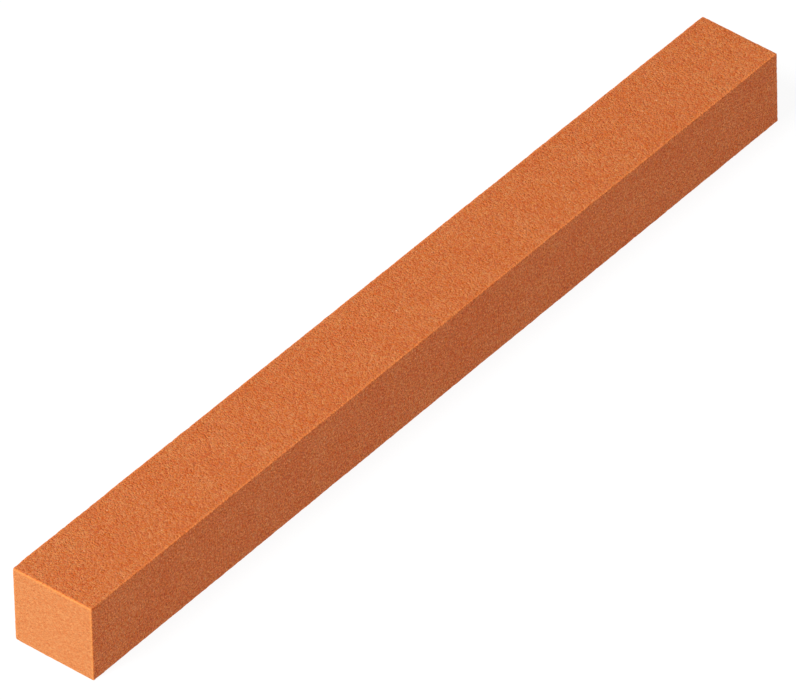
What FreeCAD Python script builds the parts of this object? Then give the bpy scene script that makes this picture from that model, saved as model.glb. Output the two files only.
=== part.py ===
"""Sanding stick: one straight bar of bonded abrasive, solid and in one piece.

Frame, in millimetres: X across the bar's width, Y along its length, Z up. The
origin is at the middle of the face that the bar rests on. The bar is moulded
to its section with crisp, barely rounded long edges, and cut to length, which
leaves a small break round each end face. It is solid right through, with nothing
inside it, so the whole object is this one body.
"""

import FreeCAD, Part
import os

import Sketcher

V = FreeCAD.Vector

doc = FreeCAD.newDocument("sanding_stick")

# Driving dimensions, in millimetres.
SIZES = (
    ("bar_length", 150.0, "end face to end face, along Y"),
    ("bar_width", 13.5, "side to side, along X"),
    ("bar_height", 12.5, "resting face to top face, along Z"),
    ("long_edge_radius", 0.2, "rounding of the four moulded long edges"),
    ("end_edge_break", 0.1, "break round each cut end face"),
)
sheet = doc.addObject("Spreadsheet::Sheet", "sizes")
for row, (alias, value, words) in enumerate(SIZES, start=1):
    sheet.set("A%d" % row, alias)
    sheet.set("B%d" % row, str(value))
    sheet.setAlias("B%d" % row, alias)
    sheet.set("C%d" % row, words)
doc.recompute()


def origin_plane(body, role):
    return [f for f in body.Origin.OriginFeatures if f.Role == role][0]


# ---------------------------------------------------------------- the bar
bar = doc.addObject("PartDesign::Body", "abrasive_bar")
bar.Label = "abrasive_bar"
bar.Placement = FreeCAD.Placement(V(0, 0, 0), FreeCAD.Rotation())

# Cross-section, in the XZ plane: a rectangle standing on the X axis and
# centred on the Z axis.
section = bar.newObject("Sketcher::SketchObject", "bar_section")
section.AttachmentSupport = [(origin_plane(bar, "XZ_Plane"), "")]
section.MapMode = "FlatFace"
half, tall = sheet.bar_width / 2.0, sheet.bar_height
corners = [V(-half, 0, 0), V(half, 0, 0), V(half, tall, 0), V(-half, tall, 0)]
for i in range(4):
    section.addGeometry(Part.LineSegment(corners[i], corners[(i + 1) % 4]), False)
for i in range(4):
    section.addConstraint(Sketcher.Constraint("Coincident", i, 2, (i + 1) % 4, 1))
section.addConstraint(Sketcher.Constraint("Vertical", 1))
section.addConstraint(Sketcher.Constraint("Horizontal", 2))
section.addConstraint(Sketcher.Constraint("Vertical", 3))
# The resting edge starts on the X axis, and its two ends mirror each other
# about the Z axis, which also keeps it level.
section.addConstraint(Sketcher.Constraint("PointOnObject", 0, 1, -1))
section.addConstraint(Sketcher.Constraint("Symmetric", 0, 1, 0, 2, -2))
wide = section.addConstraint(Sketcher.Constraint("DistanceX", 0, 1, 0, 2, 2 * half))
section.renameConstraint(wide, "width")
section.setExpression("Constraints.width", "sizes.bar_width")
high = section.addConstraint(Sketcher.Constraint("DistanceY", 1, 1, 1, 2, tall))
section.renameConstraint(high, "height")
section.setExpression("Constraints.height", "sizes.bar_height")
doc.recompute()

# The section is carried half the length each way from the XZ plane.
pad = bar.newObject("PartDesign::Pad", "bar_pad")
pad.Profile = section
pad.SideType = "Symmetric"
pad.setExpression("Length", "sizes.bar_length")
doc.recompute()


def edges_where(shape, test):
    return ["Edge%d" % n for n, e in enumerate(shape.Edges, start=1) if test(e)]


def runs_along_y(edge):
    a, b = (v.Point for v in edge.Vertexes[:2])
    return abs(a.x - b.x) < 1e-6 and abs(a.z - b.z) < 1e-6


def round_an_end(edge):
    """An edge whose points all lie in one of the two end planes."""
    end = sheet.bar_length / 2.0
    return all(abs(abs(v.Point.y) - end) < 1e-6 for v in edge.Vertexes) and (
        abs(edge.CenterOfMass.y) > end - 1e-6
    )


# The four moulded edges.
rounded = bar.newObject("PartDesign::Fillet", "long_edges")
rounded.Base = (pad, edges_where(pad.Shape, runs_along_y))
rounded.setExpression("Radius", "sizes.long_edge_radius")
doc.recompute()

# The rim of both cut ends, the short arcs at their corners included.
broken = bar.newObject("PartDesign::Chamfer", "end_edges")
broken.Base = (rounded, edges_where(rounded.Shape, round_an_end))
broken.setExpression("Size", "sizes.end_edge_break")
bar.Tip = broken
doc.recompute()

# ---------------------------------------------------------------- tests
PARTS = [bar]

for item in doc.Objects:
    wrong = [s for s in item.State if s in ("Invalid", "Error")]
    if wrong:
        raise RuntimeError("%s is %s" % (item.Name, wrong))
for item in PARTS:
    shape = item.Shape
    if shape.isNull() or not shape.isValid() or len(shape.Solids) != 1:
        raise RuntimeError("%s has no sound single solid" % item.Label)

full = sheet.bar_length * sheet.bar_width * sheet.bar_height
box = bar.Shape.BoundBox
share = bar.Shape.Volume / full
print(
    "%s: %.3f x %.3f x %.3f mm, %.1f mm3, %.4f of its box, %d faces"
    % (
        bar.Label,
        box.XLength,
        box.YLength,
        box.ZLength,
        bar.Shape.Volume,
        share,
        len(bar.Shape.Faces),
    )
)
if not 0.99 < share < 1.0:
    raise RuntimeError("the rounding or the end break took off the wrong amount")
if abs(box.ZMin) > 1e-4 or abs(box.XMin + box.XMax) > 1e-4:
    raise RuntimeError("the bar doesn't stand centred on the origin")

# ---------------------------------------------------------------- output
os.makedirs("parts", exist_ok=True)
for item in PARTS:
    item.Shape.exportStep("parts/%s.step" % item.Label)
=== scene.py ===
"""Sanding stick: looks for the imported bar, in metres, in the bar's own frame."""

import math

import bpy
import numpy as np
from mathutils import Matrix, Vector


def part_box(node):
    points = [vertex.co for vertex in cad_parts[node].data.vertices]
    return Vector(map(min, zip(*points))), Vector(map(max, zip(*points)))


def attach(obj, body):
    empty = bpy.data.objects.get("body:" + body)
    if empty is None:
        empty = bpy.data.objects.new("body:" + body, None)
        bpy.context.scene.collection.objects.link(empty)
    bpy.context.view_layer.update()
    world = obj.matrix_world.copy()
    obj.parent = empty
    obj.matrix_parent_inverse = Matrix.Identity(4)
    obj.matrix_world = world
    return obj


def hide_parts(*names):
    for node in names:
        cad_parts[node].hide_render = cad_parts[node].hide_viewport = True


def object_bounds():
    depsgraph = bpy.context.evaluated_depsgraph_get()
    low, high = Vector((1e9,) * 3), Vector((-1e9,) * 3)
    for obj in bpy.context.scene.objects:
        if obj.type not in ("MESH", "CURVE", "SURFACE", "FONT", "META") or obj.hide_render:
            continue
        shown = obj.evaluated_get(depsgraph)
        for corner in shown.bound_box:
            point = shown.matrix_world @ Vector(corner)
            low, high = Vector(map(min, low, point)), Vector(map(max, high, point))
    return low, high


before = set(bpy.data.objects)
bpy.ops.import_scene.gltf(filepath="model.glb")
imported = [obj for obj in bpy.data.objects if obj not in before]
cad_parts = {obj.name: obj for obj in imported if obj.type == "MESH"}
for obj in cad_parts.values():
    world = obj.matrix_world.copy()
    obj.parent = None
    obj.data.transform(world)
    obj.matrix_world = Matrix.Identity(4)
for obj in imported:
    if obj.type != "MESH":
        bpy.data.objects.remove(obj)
cad_lo, cad_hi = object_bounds()
node_lo, node_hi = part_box("abrasive_bar")
MM = 0.001
scene = bpy.context.scene

# The bar's size in millimetres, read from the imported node.
WIDE = (node_hi.x - node_lo.x) / MM
LONG = (node_hi.y - node_lo.y) / MM
TALL = (node_hi.z - node_lo.z) / MM


# ------------------------------------------------------------------ noise
def lattice(cells, seed):
    """A repeatable value from -1 to 1 for each whole-number cell."""
    n = cells.astype(np.int64)
    key = (
        n[..., 0] * 374761393
        + n[..., 1] * 668265263
        + n[..., 2] * 2147483647
        + np.int64(seed) * 1274126177
    ) & 0xFFFFFFFF
    key = ((key ^ (key >> 13)) * 1274126177) & 0xFFFFFFFF
    key = ((key ^ (key >> 16)) * 2246822519) & 0xFFFFFFFF
    key = key ^ (key >> 13)
    return (key & 0xFFFFFF) / float(0x7FFFFF) - 1.0


def noise(points, size, seed):
    """Smooth value noise, about -1 to 1, with lumps of this size in millimetres."""
    turn = np.array(
        [[0.36, 0.48, -0.80], [-0.80, 0.60, 0.00], [0.48, 0.64, 0.60]]
    )  # so that no lattice plane lies along a face
    p = points @ turn.T / size + 31.7 * (seed % 17)
    base = np.floor(p)
    t = p - base
    t = t * t * t * (t * (t * 6 - 15) + 10)
    total = np.zeros(len(p))
    for dx in (0, 1):
        for dy in (0, 1):
            for dz in (0, 1):
                w = (
                    (t[:, 0] if dx else 1 - t[:, 0])
                    * (t[:, 1] if dy else 1 - t[:, 1])
                    * (t[:, 2] if dz else 1 - t[:, 2])
                )
                total += w * lattice(base + np.array([dx, dy, dz]), seed)
    return total


def smooth(x):
    x = np.clip(x, 0.0, 1.0)
    return x * x * (3 - 2 * x)


# ------------------------------------------------------- the bar's surface
ARC = 4  # faces round each long edge
LONG_ROUND = 0.13  # usual radius of a long edge, mm
MOST_ROUND = 0.50
END_ROUND = 0.16  # radius at the cut ends, mm
RIM = 3  # faces round the rim of each end

# Neither end is cut quite square: how far the cut is set back, in mm, at the
# top against the bottom and at the right against the left.
NEAR_CUT = (0.214, 0.14)
FAR_CUT = (0.51, 0.35)


def graded(length, coarse, fine, count):
    """Places from -length/2 to length/2, with count shorter steps at both ends."""
    steps = [fine + (coarse - fine) * (i + 0.5) / count for i in range(count)]
    middle = length - 2 * sum(steps)
    n = max(1, round(middle / coarse))
    steps = steps + [middle / n] * n + steps[::-1]
    return np.concatenate([[0], np.cumsum(steps)]) - length / 2


inner_x = WIDE / 2 - MOST_ROUND
inner_z = TALL / 2 - MOST_ROUND
across_x = graded(2 * inner_x, 0.36, 0.16, 3)
across_z = graded(2 * inner_z, 0.36, 0.16, 3)
nx, nz = len(across_x) - 1, len(across_z) - 1

# The section as a closed ring of slots. A slot is on a side, with its place
# along it, or on a corner, with its angle.
ring = []
for i in range(nx + 1):
    ring.append(("side", 0, across_x[i]))  # bottom, x rising
for k in range(ARC + 1):
    ring.append(("corner", 0, -90 + 90 * k / ARC))
for i in range(nz + 1):
    ring.append(("side", 1, across_z[i]))  # right, z rising
for k in range(ARC + 1):
    ring.append(("corner", 1, 90 * k / ARC))
for i in range(nx + 1):
    ring.append(("side", 2, -across_x[i]))  # top, x falling
for k in range(ARC + 1):
    ring.append(("corner", 2, 90 + 90 * k / ARC))
for i in range(nz + 1):
    ring.append(("side", 3, -across_z[i]))  # left, z falling
for k in range(ARC + 1):
    ring.append(("corner", 3, 180 + 90 * k / ARC))
M = len(ring)
slot_side = np.array([r[1] if r[0] == "side" else -1 for r in ring])
slot_corner = np.array([r[1] if r[0] == "corner" else -1 for r in ring])
slot_value = np.array([r[2] for r in ring])
# The first and last slot of each side, which the corners' arcs lie between.
ends_of_side = {}
for s in range(4):
    at = np.where(slot_side == s)[0]
    ends_of_side[s] = (at[0], at[-1])

# Rows along the bar: the rim of the near end, the length, the rim of the far
# end. Each row is a place along Y and how far the section is drawn in.
body_y = graded(LONG - 2 * END_ROUND, 0.285, 0.12, 5)
rows = []
for k in range(RIM, 0, -1):
    a = math.radians(90 * k / RIM)
    rows.append(
        (-LONG / 2 + END_ROUND * (1 - math.sin(a)), END_ROUND * (1 - math.cos(a)), -a)
    )
for y in body_y:
    rows.append((y, 0.0, 0.0))
for k in range(1, RIM + 1):
    a = math.radians(90 * k / RIM)
    rows.append(
        (LONG / 2 - END_ROUND * (1 - math.sin(a)), END_ROUND * (1 - math.cos(a)), a)
    )
N = len(rows)
row_y = np.array([r[0] for r in rows])
row_in = np.array([r[1] for r in rows])
row_turn = np.array([r[2] for r in rows])

CORNER = [(1, -1), (1, 1), (-1, 1), (-1, -1)]  # which way each corner lies, x then z


def edge_radius(y, corner):
    """The rounding of a long edge, which wears unevenly along the bar."""
    at = np.stack([np.full_like(y, 40.0 * corner + 3.0), y, np.zeros_like(y)], 1)
    r = (
        LONG_ROUND
        + 0.03 * noise(at, 9.0, 11)
        + 0.025 * noise(at, 2.3, 12)
        + 0.025 * noise(at, 0.8, 13)
    )
    # The corners have been knocked, the near one on the right most of all.
    r += 0.03 * smooth(1 - (LONG / 2 - np.abs(y)) / 2.5)
    if corner == 1:
        r += 0.12 * smooth(1 - np.abs(y + LONG / 2 - 3.5) / 5.5)
    return np.clip(r, 0.08, MOST_ROUND - 0.05)


def ring_at(y, inset):
    """Places and outward directions of the ring at each y, in the XZ plane about the section's middle."""
    n = len(y)
    px, pz = np.zeros((n, M)), np.zeros((n, M))
    nx_, nz_ = np.zeros((n, M)), np.zeros((n, M))
    hx, hz = WIDE / 2 - inset, TALL / 2 - inset
    for m in range(M):
        s = slot_side[m]
        if s == 0:
            px[:, m], pz[:, m], nz_[:, m] = slot_value[m], -hz, -1
        elif s == 1:
            px[:, m], pz[:, m], nx_[:, m] = hx, slot_value[m], 1
        elif s == 2:
            px[:, m], pz[:, m], nz_[:, m] = slot_value[m], hz, 1
        elif s == 3:
            px[:, m], pz[:, m], nx_[:, m] = -hx, slot_value[m], -1
    for c, (sx, sz) in enumerate(CORNER):
        r = np.maximum(edge_radius(y, c) - inset, 0.05)
        for m in np.where(slot_corner == c)[0]:
            a = math.radians(slot_value[m])
            px[:, m] = sx * (hx - r) + r * math.cos(a)
            pz[:, m] = sz * (hz - r) + r * math.sin(a)
            nx_[:, m], nz_[:, m] = math.cos(a), math.sin(a)
    return px, pz, nx_, nz_


px, pz, dx, dz = ring_at(row_y, row_in)
cosine, sine = np.cos(row_turn)[:, None], np.sin(row_turn)[:, None]
side_points = np.stack([px, np.repeat(row_y[:, None], M, 1), pz], 2).reshape(-1, 3)
side_normals = np.stack(
    [dx * cosine, np.repeat(sine, M, 1), dz * cosine], 2
).reshape(-1, 3)

# The flat part of each end: a grid inside the last ring.
grid_x, grid_z = np.meshgrid(across_x, across_z, indexing="ij")
cap_points, cap_normals = [], []
for sign in (-1, 1):
    cap_points.append(
        np.stack(
            [grid_x.ravel(), np.full(grid_x.size, sign * LONG / 2), grid_z.ravel()], 1
        )
    )
    cap_normals.append(np.tile([0.0, sign, 0.0], (grid_x.size, 1)))
points = np.concatenate([side_points] + cap_points)
normals = np.concatenate([side_normals] + cap_normals)
is_cap = np.concatenate(
    [np.zeros(len(side_points), bool), np.ones(len(points) - len(side_points), bool)]
)

# How far each point is from the nearest long edge and from the nearest end rim.
beside = np.minimum(WIDE / 2 - np.abs(points[:, 0]), TALL / 2 - np.abs(points[:, 2]))
to_side_x = WIDE / 2 - np.abs(points[:, 0])
to_side_z = TALL / 2 - np.abs(points[:, 2])
to_end = LONG / 2 - np.abs(points[:, 1])
three = np.sort(np.stack([to_side_x, to_side_z, to_end], 1), axis=1)
to_edge = np.hypot(np.maximum(three[:, 0], 0), np.maximum(three[:, 1], 0))
end_ness = smooth((np.abs(normals[:, 1]) - 0.5) / 0.45)

# Relief, in millimetres along the outward direction: grains stand a little
# proud of the nominal faces, and gaps lie a little below them.
low = noise(points, 24.0, 21) * 0.010 + noise(points, 7.0, 22) * 0.006
mid = noise(points, 1.6, 24) * 0.0035
fine = noise(points, 0.62, 25) * 0.020
rng = np.random.default_rng(7)
grit = rng.normal(0.0, 0.0090, len(points))
relief = low + (mid + fine + grit) * (1 - 0.45 * end_ness)

# Cut ends: faint parallel marks from the cut, a little out of level.
cut_marks = np.where(
    is_cap,
    0.0012 * np.sin((points[:, 0] * 0.12 + points[:, 2]) * 2 * math.pi / 1.1)
    + 0.003 * noise(points * [0.25, 1.0, 1.0], 0.8, 31),
    0.0,
)
relief += cut_marks

# Worn grains along every edge.
edge_zone = smooth(1 - to_edge / 0.42)
ragged = np.maximum(0, noise(points, 0.55, 41)) * 0.024 + np.maximum(
    0, noise(points, 0.33, 42)
) * 0.024
ragged *= np.where(points[:, 2] > 0, 0.85, 0.45)  # the lower edges are cleaner
wear = edge_zone * ragged

# Small chips on the edges, each a soft dent with an uneven outline.
chips = []
for c in range(4):
    sx, sz = CORNER[c]
    for _ in range(20 if sz > 0 else 8):
        y = rng.uniform(-LONG / 2 + 1, LONG / 2 - 1)
        size = float(rng.choice([0.18, 0.24, 0.32], p=[0.5, 0.35, 0.15]))
        chips.append(((sx * WIDE / 2, y, sz * TALL / 2), size, 0.18 * size))
for sign in (-1, 1):
    for _ in range(12):
        along = rng.uniform(-1, 1)
        which = rng.integers(4)
        if which % 2:
            place = (along * WIDE / 2, sign * LONG / 2, (which - 2) * TALL / 2)
        else:
            place = ((which - 1) * WIDE / 2, sign * LONG / 2, along * TALL / 2)
        size = float(rng.choice([0.18, 0.24, 0.32], p=[0.5, 0.35, 0.15]))
        chips.append((place, size, 0.15 * size))
# The near upright edge on the right is a row of small bites in its lower half.
for k in range(9):
    z = -TALL / 2 + 0.5 + 0.72 * k + rng.uniform(-0.12, 0.12)
    chips.append(((WIDE / 2, -LONG / 2, z), 0.30, 0.075))
for far, size in ((1.5, 0.42), (2.9, 0.34), (6.1, 0.38), (9.4, 0.32)):
    chips.append(((WIDE / 2, far - LONG / 2, TALL / 2), size, 0.15 * size))
chips.append(((-WIDE / 2, -LONG / 2, -TALL / 2), 0.42, 0.045))
chips.append(((-WIDE / 2, -LONG / 2, TALL / 2), 0.36, 0.05))
wobble = noise(points, 0.4, 51)
for place, size, depth in chips:
    away = np.linalg.norm(points - np.array(place), axis=1) / size
    near = away < 1.6
    dent = smooth(1 - away[near] * (1 + 0.25 * wobble[near]) / 1.3)
    wear[near] += depth * dent

# Pores and lost grains on the faces.
holes = np.zeros(len(points))
for i in rng.integers(0, len(side_points), 900):
    size = rng.uniform(0.22, 0.42)
    deep = rng.uniform(0.006, 0.016)
    row = int(i) // M
    block = np.arange(max(0, row - 3) * M, min(N, row + 4) * M)
    away = np.linalg.norm(points[block] - points[i], axis=1) / size
    hit = away < 1
    holes[block[hit]] += deep * smooth(1 - away[hit])
relief -= relief.mean() + wear + holes

relief = np.minimum(relief, 0.04)
points = points + normals * relief[:, None]

# Grid lines of a moulded surface would show in glancing light, so the points
# inside each face move a little along it.
slide = rng.uniform(-0.5, 0.5, (len(points), 3)) * 0.09
slide -= normals * np.sum(slide * normals, axis=1)[:, None]
slide *= smooth((to_edge - 0.6) / 0.5)[:, None]
points += slide

# The two cuts: every point moves along the bar in proportion, so that the
# sides stay flat.
def set_back(cut):
    return cut[0] * (points[:, 2] / TALL + 0.5) + cut[1] * (points[:, 0] / WIDE + 0.5)


points[:, 1] += set_back(NEAR_CUT) * (0.5 - points[:, 1] / LONG)
points[:, 1] -= set_back(FAR_CUT) * (0.5 + points[:, 1] / LONG)

points[:, 2] += TALL / 2

# ----------------------------------------------------------------- faces
quads, uv_quads = [], []
SPAN = 2 * (WIDE + TALL) + 1.0  # width of one band of the flat layout, mm
SHEET = 2 * SPAN + 1.0
ring_now = np.stack([px[N // 2], pz[N // 2]], 1)
step = np.linalg.norm(np.roll(ring_now, -1, 0) - ring_now, axis=1)
ring_s = np.concatenate([[0], np.cumsum(step)])  # M + 1 places round the ring
row_points = np.stack([row_y, -row_in], 1)
row_s = np.concatenate(
    [[0], np.cumsum(np.linalg.norm(np.diff(row_points, axis=0), axis=1))]
)
half_row = N // 2
for j in range(N - 1):
    a = np.arange(M)
    b = (a + 1) % M
    quads.append(np.stack([j * M + a, (j + 1) * M + a, (j + 1) * M + b, j * M + b], 1))
    far = j >= half_row
    u0, u1 = ring_s[:-1] + far * SPAN, ring_s[1:] + far * SPAN
    v0 = row_s[j] - far * row_s[half_row]
    v1 = row_s[j + 1] - far * row_s[half_row]
    uv_quads.append(
        np.stack(
            [
                np.stack([u0, np.full(M, v0)], 1),
                np.stack([u0, np.full(M, v1)], 1),
                np.stack([u1, np.full(M, v1)], 1),
                np.stack([u1, np.full(M, v0)], 1),
            ],
            1,
        )
    )
quads = np.concatenate(quads)
uv_quads = np.concatenate(uv_quads)

# The caps: a grid, strips from the grid's border to the last ring, and a fan
# at each corner.
cap_faces, cap_uvs = [], []
V_CAP = max(row_s[half_row], row_s[-1] - row_s[half_row]) + 2.0


def cap_uv(index, sign):
    p = points[index]
    offset = 1.0 + WIDE / 2 + (WIDE + 2.0) * (sign > 0)
    return (offset + p[0] * (1 if sign < 0 else -1), V_CAP + p[2])


def add_cap(face, sign):
    face = face if sign < 0 else face[::-1]
    cap_faces.append([int(i) for i in face])
    cap_uvs.append([cap_uv(i, sign) for i in face])


for sign in (-1, 1):
    first = len(side_points) + (0 if sign < 0 else grid_x.size)
    last_row = 0 if sign < 0 else (N - 1) * M

    def at(i, k):
        return first + i * (nz + 1) + k

    for i in range(nx):
        for k in range(nz):
            add_cap((at(i, k), at(i + 1, k), at(i + 1, k + 1), at(i, k + 1)), sign)
    s0, s1, s2, s3 = (ends_of_side[s][0] for s in range(4))
    for i in range(nx):
        add_cap((last_row + s0 + i, last_row + s0 + i + 1, at(i + 1, 0), at(i, 0)), sign)
        add_cap(
            (
                last_row + s2 + i,
                last_row + s2 + i + 1,
                at(nx - i - 1, nz),
                at(nx - i, nz),
            ),
            sign,
        )
    for k in range(nz):
        add_cap(
            (last_row + s1 + k, last_row + s1 + k + 1, at(nx, k + 1), at(nx, k)), sign
        )
        add_cap(
            (
                last_row + s3 + k,
                last_row + s3 + k + 1,
                at(0, nz - k - 1),
                at(0, nz - k),
            ),
            sign,
        )
    hubs = [at(nx, 0), at(nx, nz), at(0, nz), at(0, 0)]
    for c in range(4):
        start = ends_of_side[c][1]
        for k in range(ARC + 2):
            add_cap(
                (
                    last_row + (start + k) % M,
                    last_row + (start + k + 1) % M,
                    hubs[c],
                ),
                sign,
            )

mesh = bpy.data.meshes.new("abrasive_bar_surface")
faces = [tuple(int(i) for i in q) for q in quads] + [tuple(f) for f in cap_faces]
mesh.from_pydata((points * MM).tolist(), [], faces)
uv = mesh.uv_layers.new(name="OFBake")
flat_uv = np.concatenate(
    [uv_quads.reshape(-1, 2), np.array([p for f in cap_uvs for p in f])]
)
uv.uv.foreach_set(
    "vector", ((flat_uv + 0.5) / (SHEET + 1.0)).astype(np.float32).ravel()
)
mesh.polygons.foreach_set("use_smooth", [True] * len(mesh.polygons))


def point_attribute(name, values):
    layer = mesh.attributes.new(name, "FLOAT", "POINT")
    layer.data.foreach_set("value", np.asarray(values, np.float32))


# The rubbed line, partly real wear and partly a painted highlight, lies on the lit top, on the ends and
# beside the ends, and hardly on the shaded sides along the bar.
side_ness = smooth((np.abs(normals[:, 0]) - 0.25) / 0.6)
by_end = smooth(1.25 - to_end / 0.30)
wear_and_highlight_mask = smooth(1 - to_edge / 0.38) * (1 - 0.8 * side_ness * (1 - by_end))
point_attribute("edge_wear_and_highlight", wear_and_highlight_mask)
point_attribute("cut_face", end_ness)
point_attribute("side_face", side_ness)
point_attribute("hollow", np.clip(holes / 0.016, 0, 1))
mesh.update()
mesh.validate()

bar = bpy.data.objects.new("abrasive_bar_visual", mesh)
scene.collection.objects.link(bar)


# --------------------------------------------------------------- material
def linear(r, g, b):
    """Eight-bit display colour to the linear colour that a shader takes."""
    out = []
    for v in (r, g, b):
        v = v / 255
        out.append(v / 12.92 if v <= 0.04045 else ((v + 0.055) / 1.055) ** 2.4)
    return (*out, 1.0)


class Nodes:
    """A few short ways to add nodes to a material."""

    def __init__(self, material):
        material.use_nodes = True
        self.tree = material.node_tree
        self.tree.nodes.clear()

    def add(self, kind, **settings):
        node = self.tree.nodes.new(kind)
        for key, value in settings.items():
            setattr(node, key, value)
        return node

    def link(self, a, b):
        self.tree.links.new(a, b)

    def value(self, socket, x):
        if isinstance(x, bpy.types.NodeSocket):
            self.link(x, socket)
        else:
            socket.default_value = x

    def maths(self, operation, a, b=0.0, c=0.0, clamp=False):
        node = self.add("ShaderNodeMath", operation=operation, use_clamp=clamp)
        for socket, x in zip(node.inputs, (a, b, c)):
            self.value(socket, x)
        return node.outputs[0]

    def mix(self, factor, a, b, blend="MIX"):
        node = self.add("ShaderNodeMix", data_type="RGBA", blend_type=blend)
        node.clamp_result = False
        self.value(node.inputs["Factor"], factor)
        self.value(node.inputs[6], a)
        self.value(node.inputs[7], b)
        return node.outputs[2]

    def remap(self, x, low, high, to_low=0.0, to_high=1.0, kind="SMOOTHSTEP"):
        node = self.add("ShaderNodeMapRange", interpolation_type=kind)
        for socket, v in zip(node.inputs, (x, low, high, to_low, to_high)):
            self.value(socket, v)
        return node.outputs[0]

    def noise(self, vector, scale, detail=2.0, rough=0.5, distortion=0.0):
        node = self.add("ShaderNodeTexNoise")
        self.link(vector, node.inputs["Vector"])
        node.inputs["Scale"].default_value = scale
        node.inputs["Detail"].default_value = detail
        node.inputs["Roughness"].default_value = rough
        node.inputs["Distortion"].default_value = distortion
        return node

    def cells(self, vector, scale, feature="F1", randomness=1.0):
        node = self.add("ShaderNodeTexVoronoi", feature=feature)
        self.link(vector, node.inputs["Vector"])
        node.inputs["Scale"].default_value = scale
        node.inputs["Randomness"].default_value = randomness
        return node


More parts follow.
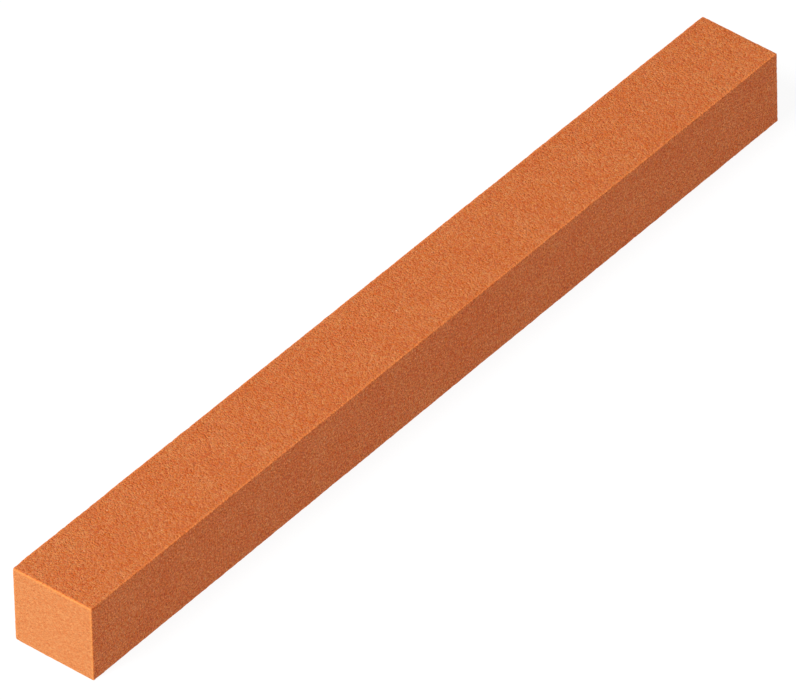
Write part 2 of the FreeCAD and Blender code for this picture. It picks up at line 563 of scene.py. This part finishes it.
def abrasive_material():
    """Bonded abrasive: warm orange grains of many tones in a redder bond, with pores darkened by painted
    shade, a few pale glassy grains that are partly painted glints, brighter worn edges that partly carry
    a painted highlight, and smoother, paler cut ends.
    """
    material = bpy.data.materials.new("bonded_abrasive_surface")
    n = Nodes(material)
    out = n.add("ShaderNodeOutputMaterial")
    shader = n.add("ShaderNodeBsdfPrincipled")
    n.link(shader.outputs[0], out.inputs[0])
    coords = n.add("ShaderNodeTexCoord").outputs["Object"]
    scaled = n.add("ShaderNodeVectorMath", operation="SCALE")
    n.link(coords, scaled.inputs[0])
    scaled.inputs["Scale"].default_value = 1000.0
    mm = scaled.outputs[0]  # so that every scale below is per millimetre

    edge = n.add("ShaderNodeAttribute", attribute_name="edge_wear_and_highlight").outputs["Fac"]
    cut = n.add("ShaderNodeAttribute", attribute_name="cut_face").outputs["Fac"]
    side = n.add("ShaderNodeAttribute", attribute_name="side_face").outputs["Fac"]
    hollow = n.add("ShaderNodeAttribute", attribute_name="hollow").outputs["Fac"]

    # Grains: one tone each, their outlines bent by noise.
    warp = n.noise(mm, 3.4, 2.0, 0.6)
    shifted = n.add("ShaderNodeVectorMath", operation="MULTIPLY_ADD")
    n.link(warp.outputs["Color"], shifted.inputs[0])
    shifted.inputs[1].default_value = (0.20, 0.20, 0.20)
    n.link(mm, shifted.inputs[2])
    grains = n.cells(shifted.outputs[0], 4.1)
    grain_tone = n.add("ShaderNodeSeparateColor")
    n.link(grains.outputs["Color"], grain_tone.inputs[0])
    speckle = n.noise(mm, 4.6, 2.0, 0.68)
    grit_light = n.noise(mm, 3.7, 0.0)
    blotch = n.noise(mm, 0.8, 2.0, 0.5)
    cloud = n.noise(mm, 0.20, 2.0, 0.5)

    tone = n.maths("MULTIPLY_ADD", grain_tone.outputs[0], 0.30, 0.5 - 0.15)
    parts = ((speckle, 0.37), (grit_light, 0.175), (blotch, 0.08), (cloud, 0.17))
    for texture, weight in parts:
        tone = n.maths(
            "ADD", tone, n.maths("MULTIPLY_ADD", texture.outputs["Fac"], weight, -0.5 * weight)
        )
    ramp = n.add("ShaderNodeValToRGB")
    n.link(tone, ramp.inputs[0])
    stops = ramp.color_ramp
    stops.interpolation = "B_SPLINE"
    stops.elements[0].position, stops.elements[0].color = 0.02, linear(173.8, 55.9, 10.9)
    stops.elements[1].position, stops.elements[1].color = 0.98, linear(216.5, 153.7, 98)
    for place, tint in ((0.36, (195.6, 93.9, 41.5)), (0.64, (203.6, 118.9, 64.3))):
        stop = stops.elements.new(place)
        stop.color = linear(*tint)
    colour = ramp.outputs[0]

    # Grains differ a little in hue too: some pinker, some more yellow.
    hue = n.add("ShaderNodeHueSaturation")
    n.link(
        n.remap(grain_tone.outputs[1], 0.0, 1.0, 0.4975, 0.5025, "LINEAR"),
        hue.inputs["Hue"],
    )
    n.link(
        n.remap(grain_tone.outputs[2], 0.0, 1.0, 0.97, 1.02, "LINEAR"),
        hue.inputs["Saturation"],
    )
    n.link(colour, hue.inputs["Color"])
    colour = hue.outputs[0]

    # The two sides are a little redder than the top and the bottom.
    colour = n.mix(side, colour, (1.019, 0.940, 0.930, 1.0), "MULTIPLY")

    # Redder bond where grains have gone, also darkened there as painted shade in these recesses, and
    # painted shade in the pores.
    pits = n.remap(n.noise(mm, 3.0, 2.0, 0.6).outputs["Fac"], 0.36, 0.25)
    colour = n.mix(n.maths("MULTIPLY", pits, 0.24), colour, linear(150, 66, 28))
    colour = n.mix(n.maths("MULTIPLY", hollow, 0.22), colour, linear(164, 74, 34))

    # A few glassy grains, pale and small, their pale colour partly a painted glint, and fewer dark ones.
    sparse = n.cells(mm, 0.72)
    pick = n.add("ShaderNodeSeparateColor")
    n.link(sparse.outputs["Color"], pick.inputs[0])
    spot = n.remap(sparse.outputs["Distance"], 0.13, 0.06)
    glassy_and_glint = n.maths("MULTIPLY", spot, n.maths("GREATER_THAN", pick.outputs[0], 0.80))
    # Fewer painted glints on the shaded sides.
    glassy_and_glint = n.maths("MULTIPLY", glassy_and_glint, n.maths("MULTIPLY_ADD", side, -0.5, 1.0))
    dark = n.maths("MULTIPLY", spot, n.maths("LESS_THAN", pick.outputs[0], 0.22))
    colour = n.mix(n.maths("MULTIPLY", glassy_and_glint, 0.55), colour, linear(238, 174, 126))
    colour = n.mix(n.maths("MULTIPLY", dark, 0.45), colour, linear(112, 52, 28))

    # Cut ends: the grains are sliced through, so the tone is paler and calmer.
    mottle = n.noise(mm, 2.6, 1.0, 0.6)
    cut_tone = n.maths("MULTIPLY_ADD", grain_tone.outputs[0], 0.30, -0.15)
    cut_tone = n.maths("ADD", cut_tone, mottle.outputs["Fac"])
    cut_tone = n.maths("MULTIPLY_ADD", speckle.outputs["Fac"], 0.5, cut_tone)
    cut_tone = n.remap(cut_tone, 0.35, 1.15, 0.0, 1.0, "LINEAR")
    cut_colour = n.mix(cut_tone, linear(189.1, 106.0, 53.7), linear(201.8, 135.0, 81.5))
    calm = n.maths("MULTIPLY", cut, 0.86)
    colour = n.mix(calm, colour, cut_colour)

    # The grains also differ in plain brightness, on the sides most of all.
    uneven = n.maths("MULTIPLY_ADD", cut, 0.30, 0.10)
    uneven = n.maths("MULTIPLY_ADD", side, 1.40, uneven)
    shade = n.maths("MULTIPLY_ADD", grit_light.outputs["Fac"], 0.5, -0.5)
    shade = n.maths("MULTIPLY_ADD", speckle.outputs["Fac"], 0.5, shade)
    uneven = n.maths("MULTIPLY", uneven, shade)
    lit = n.add("ShaderNodeVectorMath", operation="SCALE")
    n.link(colour, lit.inputs[0])
    n.link(n.maths("ADD", uneven, 1.0), lit.inputs["Scale"])
    colour = lit.outputs[0]

    # Edges rubbed clean, with a painted highlight along them as well: brighter and more saturated, broken
    # up by the grain.
    wear_and_highlight_amount = n.remap(n.noise(mm, 2.8, 3.0, 0.6).outputs["Fac"], 0.32, 0.58, 0.30, 1.0)
    wear_and_highlight_amount = n.maths("MULTIPLY", wear_and_highlight_amount, n.maths("POWER", edge, 1.5))
    wear_and_highlight_amount = n.maths("MULTIPLY", wear_and_highlight_amount, 0.95)
    # Painted highlight: this paler edge colour also stands in for light catching the rounded edges.
    worn_edge_highlight_colour = n.mix(cut, linear(238, 134, 66), linear(228, 148, 76))
    colour = n.mix(wear_and_highlight_amount, colour, worn_edge_highlight_colour)
    n.link(colour, shader.inputs["Base Color"])

    # Matt and slightly uneven, the glassy grains smoother.
    rough = n.maths("MULTIPLY_ADD", speckle.outputs["Fac"], 0.30, 0.66)
    rough = n.maths("MULTIPLY_ADD", cut, -0.04, rough)
    rough = n.maths("MULTIPLY_ADD", glassy_and_glint, -0.35, rough, clamp=True)
    n.link(rough, shader.inputs["Roughness"])
    shader.inputs["Specular IOR Level"].default_value = 0.14

    # Relief finer than the mesh: rounded grains and the gaps between them.
    dome = n.maths("MULTIPLY", grains.outputs["Distance"], grains.outputs["Distance"])
    height = n.maths("MULTIPLY_ADD", dome, -0.60, 0.5)
    height = n.maths("MULTIPLY_ADD", speckle.outputs["Fac"], 0.9, height)
    height = n.maths("MULTIPLY_ADD", pits, -0.5, height)
    height = n.maths("MULTIPLY_ADD", glassy_and_glint, 0.35, height)
    bump = n.add("ShaderNodeBump")
    n.link(height, bump.inputs["Height"])
    bump.inputs["Distance"].default_value = 0.00033
    n.link(n.remap(cut, 0.0, 1.0, 0.70, 0.44, "LINEAR"), bump.inputs["Strength"])
    n.link(bump.outputs[0], shader.inputs["Normal"])
    return material


bar.data.materials.append(abrasive_material())
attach(bar, "root")
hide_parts("abrasive_bar")


# ------------------------------------------------------------------ stage
# A pale table lit softly from below as well as from above, so that shadows on
# it stay faint.
REACH = 14.0
floor_mesh = bpy.data.meshes.new("floor")
floor_mesh.from_pydata(
    [(-REACH, -REACH, 0), (REACH, -REACH, 0), (REACH, REACH, 0), (-REACH, REACH, 0)],
    [],
    [(0, 1, 2, 3)],
)
floor = bpy.data.objects.new("floor", floor_mesh)
floor.location.z = cad_lo.z - 0.00005
table = bpy.data.materials.new("pale_table")
n = Nodes(table)
out = n.add("ShaderNodeOutputMaterial")
shader = n.add("ShaderNodeBsdfPrincipled")
shader.inputs["Base Color"].default_value = (0.09, 0.09, 0.09, 1.0)
shader.inputs["Roughness"].default_value = 1.0
shader.inputs["Specular IOR Level"].default_value = 0.0
shader.inputs["Emission Color"].default_value = (1.0, 1.0, 1.0, 1.0)
shader.inputs["Emission Strength"].default_value = 0.925
n.link(shader.outputs[0], out.inputs[0])
floor_mesh.materials.append(table)
scene.collection.objects.link(floor)

# ------------------------------------------------------------------ light
# The room: pale walls, and a dimmer ceiling.
world = bpy.data.worlds.new("soft_room")
n = Nodes(world)
out = n.add("ShaderNodeOutputWorld")
walls = n.add("ShaderNodeBackground")
n.link(walls.outputs[0], out.inputs[0])
direction = n.add("ShaderNodeSeparateXYZ")
n.link(n.add("ShaderNodeTexCoord").outputs["Generated"], direction.inputs[0])
n.link(n.remap(direction.outputs["Z"], 0.0, 0.6, 0.80, 0.30), walls.inputs["Strength"])
scene.world = world


def lamp(name, place, size, power):
    """A round soft lamp at this place, facing the bar."""
    data = bpy.data.lights.new(name, "AREA")
    data.shape = "DISK"
    data.size = size
    data.energy = power
    item = bpy.data.objects.new(name, data)
    item.location = place
    item.rotation_euler = Vector(place).to_track_quat("Z", "Y").to_euler()
    item.visible_camera = False
    scene.collection.objects.link(item)
    return item


key = lamp("key", (-0.49, -2.01, 2.39), 1.3, 133.0)
fill = lamp("fill", (0.62, -0.34, 0.07), 0.16, 0.78)

# ----------------------------------------------------------------- camera
camera_data = bpy.data.cameras.new("camera")
camera_data.sensor_width = 36.0
camera_data.lens = 387.292
camera_data.clip_start = 0.01
camera_data.clip_end = 100.0
camera = bpy.data.objects.new("camera", camera_data)
turn = Matrix(
    (
        (0.7771882841821559, -0.39770357016215807, 0.48765791412656256),
        (0.6290908956461796, 0.5094434823870174, -0.5871217789083252),
        (-0.014933718394426948, 0.7630853219225633, 0.6461252011191437),
    )
)
middle = Vector((0.0, 0.0, TALL / 2 * MM))
camera.matrix_world = (
    Matrix.Translation(
        middle + Vector((0.5705612159071078, -0.6895920423030084, 0.7551624757422397))
    )
    @ turn.to_4x4()
)
scene.collection.objects.link(camera)
scene.camera = camera

scene.view_settings.view_transform = "Standard"
scene.view_settings.look = "None"
